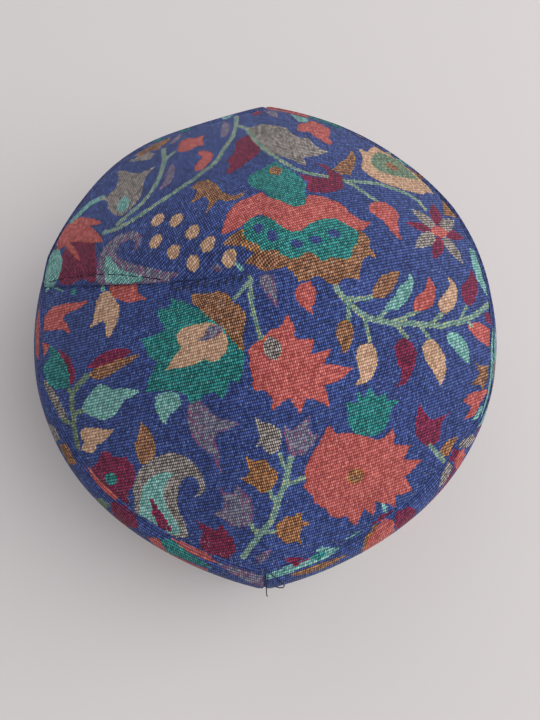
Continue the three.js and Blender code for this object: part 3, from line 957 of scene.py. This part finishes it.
def thread_places(bm):
    bm.verts.index_update()
    return np.array([vert.co[:2] for vert in bm.verts])


def woven_piece(columns, picks, flat, keep, place, chart):
    """A cloth woven cell by cell: a flat grid of threads, cut, coloured, shaped and thickened."""
    bm = bmesh.new()
    bmesh.ops.create_grid(bm, x_segments=columns // CELL, y_segments=picks, size=0.5)
    bmesh.ops.scale(bm, vec=(columns, picks, 1), verts=bm.verts)
    wanted = keep(*flat(thread_places(bm)))
    spare = [face for face in bm.faces if not any(wanted[vert.index] for vert in face.verts)]
    bmesh.ops.delete(bm, geom=spare, context="FACES")

    threads = thread_places(bm)
    across, up = flat(threads)
    counted = threads + (columns / 2, picks / 2)
    corners = np.array([[vert.index for vert in face.verts] for face in bm.faces])
    middle = counted[corners].mean(axis=1)
    column = CELL * (middle[:, 0] // CELL).astype(int)
    pick = middle[:, 1].astype(int)
    dash, gap = dash_colours(columns, picks, flat, chart)
    coloured = {}
    for number, name in enumerate(DASHES_OF_CELL):
        coloured["dash_" + name] = dash[pick, column + number]
        coloured["gap_" + name] = gap[pick, column + number]

    weave_map = bm.loops.layers.uv.new("threads")
    bake_map = bm.loops.layers.uv.new("OFBake")
    for name in coloured:
        bm.loops.layers.float_color.new(name)
    layers = [(bm.loops.layers.float_color[name], colours) for name, colours in coloured.items()]
    in_rows = counted / (1, PICKS)
    bake_u = spread_over(across, MAP_OUTER)
    bake_v = spread_over(up, MAP_FACES)
    for number, face in enumerate(bm.faces):
        shades = [(layer, (*colours[number], 1)) for layer, colours in layers]
        for loop in face.loops:
            at = loop.vert.index
            loop[weave_map].uv = in_rows[at]
            loop[bake_map].uv = (bake_u[at], bake_v[at])
            for layer, shade in shades:
                loop[layer] = shade
    for vert, point in zip(bm.verts, place(across, up)):
        vert.co = point
    bm.normal_update()
    map_inside(bake_map, *give_thickness(bm))
    return bm


def even(count):
    return 2 * round(count / 2)


CROWN_SPAN = 214


def crown_flat(threads):
    return turned(threads[:, 0] * COLUMN, threads[:, 1] * ROW / PICKS, GRAIN)


def make_crown(materials):
    bm = woven_piece(
        CELL * even(CROWN_SPAN / COLUMN / CELL),
        PICKS * even(CROWN_SPAN / ROW),
        crown_flat,
        lambda u, v: CrownPlace(u, v).inside,
        lambda u, v: CrownPlace(u, v).points,
        crown_yarn,
    )
    piece = finish_piece("crown_cloth", bm, materials)
    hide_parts("crown")
    return piece


def make_side(name, node, hand, repeats, strip, materials):
    columns = CELL * even(SIDE_CUT / COLUMN / CELL)
    rows = even(SECTION_AT[-1] / ROW + TURN_ROWS)
    row_pitch = SECTION_AT[-1] / (rows - TURN_ROWS)

    def flat(threads):
        along = (threads[:, 0] / columns + 0.5) * SIDE_CUT - SEAM_TURN
        height = (TURN_ROWS - rows / 2 + threads[:, 1] / PICKS) * row_pitch
        return (along if hand > 0 else SIDE_LENGTH - along), height

    bm = woven_piece(
        columns,
        PICKS * rows,
        flat,
        lambda along, height: np.ones(along.shape, bool),
        lambda along, height: side_points(hand, along, -height),
        lambda along, height: side_yarn(along, height, repeats, strip),
    )
    piece = finish_piece(name, bm, materials)
    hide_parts(node)
    return piece


# Sewing thread and lint: each stitch dips into the cloth at its ends

STITCH = 4.4
STITCH_GAP = 0.35
STITCH_START = 0.5
STITCH_LIFT = (-0.25, 0.02, 0.05, 0.05, 0.02, -0.25)
THREAD_THICK = 0.38
THREAD_SIDES = 6
LADDER_AND_SHADE_THICK = 0.5
# The short stitches are thicker than the sewing thread: the extra dark width is painted shade
# between the puckers
LADDER_START = 0.1
LADDER_LEAN = 0.12
LADDER_LIFT = (-0.2, 0.12, 0.15, 0.05, -0.35)


def add_thread(bm, route, thick, sides=THREAD_SIDES):
    """A round thread along a route of points in millimetres, closed at both ends."""
    route = [Vector(point) * MM for point in route]
    frames = []
    for before, point, after in zip((route[0], *route), route, (*route[1:], route[-1])):
        turn = (after - before).to_track_quat("Z", "Y").to_matrix().to_4x4()
        frames.append(Matrix.Translation(point) @ turn)
    ring = bmesh.ops.create_circle(
        bm, cap_ends=True, segments=sides, radius=thick / 2 * MM, matrix=frames[0])
    end = ring["verts"][0].link_faces[0]
    for before, after in zip(frames[:-1], frames[1:]):
        raised = bmesh.ops.extrude_face_region(bm, geom=[end])
        moved = [part for part in raised["geom"] if isinstance(part, bmesh.types.BMVert)]
        end = next(part for part in raised["geom"] if isinstance(part, bmesh.types.BMFace))
        bmesh.ops.transform(bm, matrix=after @ before.inverted(), verts=moved)


def on_crown(places, lift):
    """Points in millimetres on the crown, at places of its flat cloth, raised by their lifts."""
    u, v = np.array(places, float).T
    points = CrownPlace(u, v).points / MM
    points[:, 2] += lift
    return points


def finish_threads(name, bm, material):
    bmesh.ops.recalc_face_normals(bm, faces=bm.faces)
    finish_piece(name, bm, (material,))


def make_topstitch(material):
    """Running stitches that lie in the crease behind the lap's fold."""
    bm = bmesh.new()
    line = np.transpose(TOPSTITCH)
    run = run_along(*line)
    for start in np.arange(STITCH_START, run[-1] - STITCH, STITCH + STITCH_GAP):
        at = start + STITCH * np.linspace(0, 1, len(STITCH_LIFT))
        places = np.column_stack([np.interp(at, run, part) for part in line])
        add_thread(bm, on_crown(places, STITCH_LIFT), THREAD_THICK)
    finish_threads("lap_topstitch", bm, material)


def make_ladder(material):
    """Short stitches that cross from the lap's fold onto the front cloth, drawn thicker than the
    thread so that their dark width is also painted shade between the puckers.
    """
    bm = bmesh.new()
    fold_slope = math.tan(MIDDLE_BEARING - HALF_ROUND)
    first = math.ceil(LADDER_FROM / LADDER_PITCH)
    last = math.floor(LADDER_TO / LADDER_PITCH)
    ahead = np.linspace(LADDER_START, LADDER_LENGTH, len(LADDER_LIFT))
    for number in range(first, last + 1):
        across = number * LADDER_PITCH
        places = np.column_stack((across - LADDER_LEAN * ahead, across * fold_slope - ahead))
        add_thread(bm, on_crown(places, LADDER_LIFT), LADDER_AND_SHADE_THICK)
    finish_threads("lap_stitches_and_shade", bm, material)


# The cut end of the seam thread at the front point, and its second end curled beside it
THREAD_END = (
    (1.2, -88.2, 68.6), (1.2, -89.8, 69.3), (0.9, -91.8, 69.2), (0.6, -93.8, 67.8),
    (0.6, -95.6, 65.2), (0.7, -96.9, 62.2), (0.9, -97.5, 59.4),
)
THREAD_CURL = (
    (1.4, -88.2, 68.6), (2.4, -89.6, 69.4), (4.2, -91.0, 69.2), (5.8, -92.2, 68.2),
    (6.6, -93.2, 67.0), (6.2, -93.9, 66.1), (5.0, -94.0, 66.0), (3.7, -93.6, 66.6),
)


def make_loose_thread(material):
    bm = bmesh.new()
    for route in (THREAD_END, THREAD_CURL):
        add_thread(bm, route, THREAD_THICK)
    finish_threads("loose_thread", bm, material)


# Lint: where it may lie, how it varies, and how likely it is round the seam
LINT_COUNT = 220
LINT_AWAY = (70, 103)
LINT_BAND = (0.2, 4.5)
LINT_LENGTH = (0.3, 0.8)
LINT_HEIGHT = (0.05, 0.3)
LINT_ENDS = (-0.1, 0.1)
LINT_BEND = 0.4
LINT_CURL = 0.12
LINT_THICK = 0.17
LINT_SIDES = 3
WORN_MEAN = 0.55
WORN_SWING = 0.45
WORN_TURN = 0.6


def make_lint(material):
    """Pale fibre ends that wear has raised along the crown seam, most at the front and right."""
    bm = bmesh.new()
    made = 0
    while made < LINT_COUNT:
        bearing = LINT_DICE.uniform(-math.pi, math.pi)
        away = LINT_DICE.uniform(*LINT_AWAY)
        lean = LINT_DICE.uniform(0, 2 * math.pi)
        length = LINT_DICE.uniform(*LINT_LENGTH)
        height = LINT_DICE.uniform(*LINT_HEIGHT)
        worn = WORN_MEAN - WORN_SWING * math.sin(bearing + WORN_TURN)
        if LINT_DICE.random() > worn:
            continue
        start = np.array((away * math.cos(bearing), away * math.sin(bearing)))
        place = CrownPlace(start[:1], start[1:])
        if not place.inside[0] or not LINT_BAND[0] < place.to_seam[0] < LINT_BAND[1]:
            continue
        run = length * np.array((math.cos(lean), math.sin(lean)))
        places = [start, start + run * LINT_BEND + run[::-1] * LINT_CURL, start + run]
        lift = (LINT_ENDS[0], height, LINT_ENDS[1])
        add_thread(bm, on_crown(places, lift), LINT_THICK, LINT_SIDES)
        made += 1
    finish_threads("seam_lint", bm, material)


# Materials

# A Mix node's sockets for colours
MIX_FACTOR = 0
MIX_FIRST = 6
MIX_SECOND = 7
MIX_RESULT = 2


class NodeBench:
    """Short calls for laying out shader nodes in one tree."""

    def __init__(self, tree):
        self.tree = tree

    def node(self, kind, **settings):
        node = self.tree.nodes.new(kind)
        for name, value in settings.items():
            setattr(node, name, value)
        return node

    def wire(self, source, target):
        if hasattr(source, "links"):
            self.tree.links.new(source, target)
        else:
            target.default_value = source

    def feed(self, node, *sources):
        for socket, source in zip(node.inputs, sources):
            self.wire(source, socket)
        return node.outputs[0]

    def sum(self, operation, *terms):
        return self.feed(self.node("ShaderNodeMath", operation=operation), *terms)

    def span(self, value, low, high, to_low=0.0, to_high=1.0):
        node = self.node("ShaderNodeMapRange", interpolation_type="SMOOTHSTEP")
        return self.feed(node, value, low, high, to_low, to_high)

    def blend(self, share, first, second, how="MIX"):
        node = self.node("ShaderNodeMix", data_type="RGBA", blend_type=how, clamp_factor=True)
        self.wire(share, node.inputs[MIX_FACTOR])
        self.wire(first, node.inputs[MIX_FIRST])
        self.wire(second, node.inputs[MIX_SECOND])
        return node.outputs[MIX_RESULT]

    def named(self, node, **sources):
        for name, source in sources.items():
            self.wire(source, node.inputs[name])
        return node.outputs

    def noise(self, place, scale, detail):
        node = self.node("ShaderNodeTexNoise")
        return self.named(node, Vector=place, Scale=scale, Detail=detail)["Fac"]

    def group(self, tree, **sources):
        return self.named(self.node("ShaderNodeGroup", node_tree=tree), **sources)

    def bump(self, height, strength, depth):
        node = self.node("ShaderNodeBump")
        return self.named(node, Height=height, Strength=strength, Distance=depth * MM)[0]


def new_group(name, outputs, **inputs):
    """A node group with named sockets: its bench, what it is given and what it puts out."""
    tree = bpy.data.node_groups.new(name, "ShaderNodeTree")
    for socket, kind in inputs.items():
        tree.interface.new_socket(socket, in_out="INPUT", socket_type="NodeSocket" + kind)
    for socket in outputs:
        tree.interface.new_socket(socket, in_out="OUTPUT", socket_type="NodeSocketFloat")
    bench = NodeBench(tree)
    return bench, bench.node("NodeGroupInput").outputs, bench.node("NodeGroupOutput").inputs


# The weave: depth and sharpness of the gaps beside a dash and between rows, how much fuller some
# dashes are, and the fullness at which a dash begins to show and shows whole
COLUMN_GAP = (0.63, 1.55)
ROW_GAP = (0.58, 2.0)
FULLNESS = 0.3
DASH_SHOWS = (0.5, 1.06)
DASH_SLANT = 0.35
DASH_TONE = (0.34, 0.80)

# Wool: the scale of its fibres and of worn places, each with the part of the noise that counts
# and the factors or roughness that this part stands for
CLOTH_FIBRES = 2600
THREAD_FIBRES = 3000
FIBRE_DETAIL = 2
FIBRE_SHADE = (0.25, 0.75, 0.86, 1.14)
FIBRE_ROUGHNESS = (0.3, 0.7, 0.86, 0.98)
FIBRE_HEIGHT = 0.35
WEAR_SCALE = 38
WEAR_DETAIL = 3
WEAR_SHADE = (0.3, 0.7, 0.93, 1.08)

# The reverse: longer floats, dulled by the ground yarn that runs behind
FLOAT_LENGTH = 4
REVERSE_DULLED = 0.55
REVERSE_YARN = (0.035, 0.04, 0.11, 1)


def weave_group():
    """Slanted dashes in rows: which of its cell's dashes shows, how much of it, tone and height."""
    bench, given, out = new_group(
        "tapestry_weave", ("Number", "Dash", "Tone", "Height"), Threads="Vector", Slant="Float")
    split = bench.node("ShaderNodeSeparateXYZ")
    bench.wire(given["Threads"], split.inputs[0])
    across = split.outputs["X"]
    up = split.outputs["Y"]
    in_row = bench.sum("FRACT", up)
    leaned = bench.sum("MULTIPLY", bench.sum("SUBTRACT", in_row, 0.5), given["Slant"])
    shifted = bench.sum("SUBTRACT", bench.sum("ADD", across, DASH_SHIFT), leaned)
    column = bench.sum("FLOOR", shifted)
    in_column = bench.sum("FRACT", shifted)
    swell = 1.0
    for share, (depth, sharpness) in ((in_column, COLUMN_GAP), (in_row, ROW_GAP)):
        centred = bench.sum("MULTIPLY_ADD", share, 2.0, -1.0)
        to_gap = bench.sum("POWER", bench.sum("ABSOLUTE", centred), sharpness)
        swell = bench.sum("MULTIPLY_ADD", to_gap, -depth, swell)
    cell = bench.feed(bench.node("ShaderNodeCombineXYZ"), column, bench.sum("FLOOR", up))
    luck = bench.node("ShaderNodeTexWhiteNoise", noise_dimensions="2D")
    tone = bench.named(luck, Vector=cell)["Value"]
    full = bench.sum("MULTIPLY_ADD", tone, FULLNESS, swell)
    cell_start = bench.sum("SNAP", across, float(CELL))
    bench.wire(bench.sum("SUBTRACT", column, cell_start), out["Number"])
    bench.wire(bench.span(full, *DASH_SHOWS), out["Dash"])
    bench.wire(tone, out["Tone"])
    bench.wire(swell, out["Height"])
    return bench.tree


def fibre_group():
    """Fine fibres of wool or thread, with the shade and roughness that they give."""
    bench, given, out = new_group(
        "wool_fibres", ("Fibre", "Shade", "Roughness"), Place="Vector", Scale="Float")
    fibre = bench.noise(given["Place"], given["Scale"], FIBRE_DETAIL)
    bench.wire(fibre, out["Fibre"])
    bench.wire(bench.span(fibre, *FIBRE_SHADE), out["Shade"])
    bench.wire(bench.span(fibre, *FIBRE_ROUGHNESS), out["Roughness"])
    return bench.tree


def wear_group():
    """Broad places where cloth has faded or kept its colour."""
    bench, given, out = new_group("faded_places", ("Shade",), Place="Vector")
    worn = bench.noise(given["Place"], WEAR_SCALE, WEAR_DETAIL)
    bench.wire(bench.span(worn, *WEAR_SHADE), out["Shade"])
    return bench.tree


def new_material(name):
    material = bpy.data.materials.new(name)
    material.use_nodes = True
    return material, material.node_tree.nodes["Principled BSDF"], NodeBench(material.node_tree)


def cloth_material(name, weave, fibres, wear, reverse=False):
    """Matt tapestry weave: coloured dashes over darker gaps. The reverse is duller."""
    material, shader, bench = new_material(name)
    threads = bench.node("ShaderNodeUVMap", uv_map="threads")
    pitch = bench.node("ShaderNodeMapping")
    scale = (1 / FLOAT_LENGTH, 1, 1) if reverse else (1, 1, 1)
    pitched = bench.named(pitch, Vector=threads.outputs[0], Scale=scale)[0]
    cells = bench.group(weave, Threads=pitched, Slant=0.0 if reverse else DASH_SLANT)
    past_first = bench.sum("SUBTRACT", cells["Number"], 1.0)
    layers = []
    for layer in ("gap_", "dash_"):
        first, second, third = (
            bench.node("ShaderNodeVertexColor", layer_name=layer + number).outputs[0]
            for number in DASHES_OF_CELL)
        early = bench.blend(cells["Number"], first, second)
        layers.append(bench.blend(past_first, early, third))
    colour = bench.blend(cells["Dash"], *layers)
    if reverse:
        colour = bench.blend(REVERSE_DULLED, colour, REVERSE_YARN)

    place = bench.node("ShaderNodeTexCoord").outputs["Object"]
    wool = bench.group(fibres, Place=place, Scale=CLOTH_FIBRES)
    faded = bench.group(wear, Place=place)
    tone = bench.sum("MULTIPLY_ADD", cells["Tone"], *DASH_TONE)
    tone = bench.sum("MULTIPLY", tone, faded["Shade"])
    tone = bench.sum("MULTIPLY", tone, wool["Shade"])
    shade = bench.feed(bench.node("ShaderNodeCombineColor"), tone, tone, tone)
    height = bench.sum("MULTIPLY_ADD", wool["Fibre"], FIBRE_HEIGHT, cells["Height"])
    bench.wire(bench.blend(1.0, colour, shade, how="MULTIPLY"), shader.inputs["Base Color"])
    bench.wire(wool["Roughness"], shader.inputs["Roughness"])
    bench.wire(bench.bump(height, strength=0.5, depth=0.3), shader.inputs["Normal"])
    shader.inputs["Specular IOR Level"].default_value = 0.18
    shader.inputs["Sheen Weight"].default_value = 0.12
    shader.inputs["Sheen Roughness"].default_value = 0.45
    return material


def thread_material(name, fibres, dark, light):
    """Matt spun thread with fine fibres."""
    material, shader, bench = new_material(name)
    place = bench.node("ShaderNodeTexCoord").outputs["Object"]
    fibre = bench.group(fibres, Place=place, Scale=THREAD_FIBRES)["Fibre"]
    bench.wire(bench.blend(fibre, (*dark, 1), (*light, 1)), shader.inputs["Base Color"])
    bench.wire(bench.bump(fibre, strength=0.4, depth=0.1), shader.inputs["Normal"])
    shader.inputs["Roughness"].default_value = 0.85
    shader.inputs["Specular IOR Level"].default_value = 0.2
    return material


# Stage, light and camera: the floor and the lights in metres, the camera in millimetres

FLOOR_HALF = 8
FLOOR_DROP = 0.3 * MM
FLOOR_COLOUR = (0.60, 0.565, 0.56, 1)
ROOM_COLOUR = (0.95, 0.96, 1.0, 1)
ROOM_STRENGTH = 0.45
CAMERA_PLACE = (1.8, -67.7, 264.8)
CAMERA_TILT = math.radians(14.6)
CAMERA_LENS = 28.0
CAMERA_SENSOR = 36
CAMERA_NEAR = 10


def make_floor():
    material, shader, _ = new_material("pale_table")
    shader.inputs["Base Color"].default_value = FLOOR_COLOUR
    shader.inputs["Roughness"].default_value = 0.8
    bm = bmesh.new()
    bmesh.ops.create_grid(bm, x_segments=1, y_segments=1, size=FLOOR_HALF)
    bmesh.ops.translate(bm, vec=(0, 0, -FLOOR_DROP), verts=bm.verts)
    floor = mesh_object("floor", bm, (material,))


def make_light(name, place, size, power, colour):
    light = bpy.data.lights.new(name, "AREA")
    light.shape = "DISK"
    light.size = size
    light.energy = power
    light.color = colour
    lamp = put_in_scene(name, light)
    lamp.location = place
    lamp.rotation_euler = (-Vector(place)).to_track_quat("-Z", "Y").to_euler()


def make_camera():
    camera = bpy.data.cameras.new("camera")
    camera.lens = CAMERA_LENS
    camera.sensor_width = CAMERA_SENSOR
    camera.clip_start = CAMERA_NEAR * MM
    stand = put_in_scene("camera", camera)
    stand.location = Vector(CAMERA_PLACE) * MM
    stand.rotation_euler = (CAMERA_TILT, 0, 0)
    bpy.context.scene.camera = stand


def make_world():
    world = bpy.data.worlds.new("soft_room")
    world.use_nodes = True
    background = world.node_tree.nodes["Background"]
    background.inputs["Color"].default_value = ROOM_COLOUR
    background.inputs["Strength"].default_value = ROOM_STRENGTH
    bpy.context.scene.world = world


bpy.context.scene.view_settings.view_transform = "Standard"
make_camera()
make_world()
make_light("window", place=(1.8, 0.0, 1.6), size=3.2, power=74, colour=(1.0, 0.985, 0.97))
make_light("fill", place=(-0.5, 0.9, 1.2), size=1.2, power=2.5, colour=(0.96, 0.98, 1.0))
make_floor()

weave = weave_group()
fibres = fibre_group()
wear = wear_group()
both_sides = (
    cloth_material("flower_cloth", weave, fibres, wear),
    cloth_material("cloth_reverse", weave, fibres, wear, reverse=True),
)
crown = make_crown(both_sides)
left = make_side("side_cloth_left", "side_panel_left", -1, LEFT_REPEATS, LEFT_STRIP, both_sides)
right = make_side("side_cloth_right", "side_panel_right", 1, RIGHT_REPEATS, RIGHT_STRIP, both_sides)
dark_thread = thread_material(
    "dark_thread", fibres, dark=(0.006, 0.006, 0.012), light=(0.03, 0.03, 0.045))
pale_lint = thread_material(
    "pale_lint", fibres, dark=(0.22, 0.25, 0.32), light=(0.48, 0.50, 0.54))
make_topstitch(dark_thread)
make_ladder(dark_thread)
make_loose_thread(dark_thread)
make_lint(pale_lint)
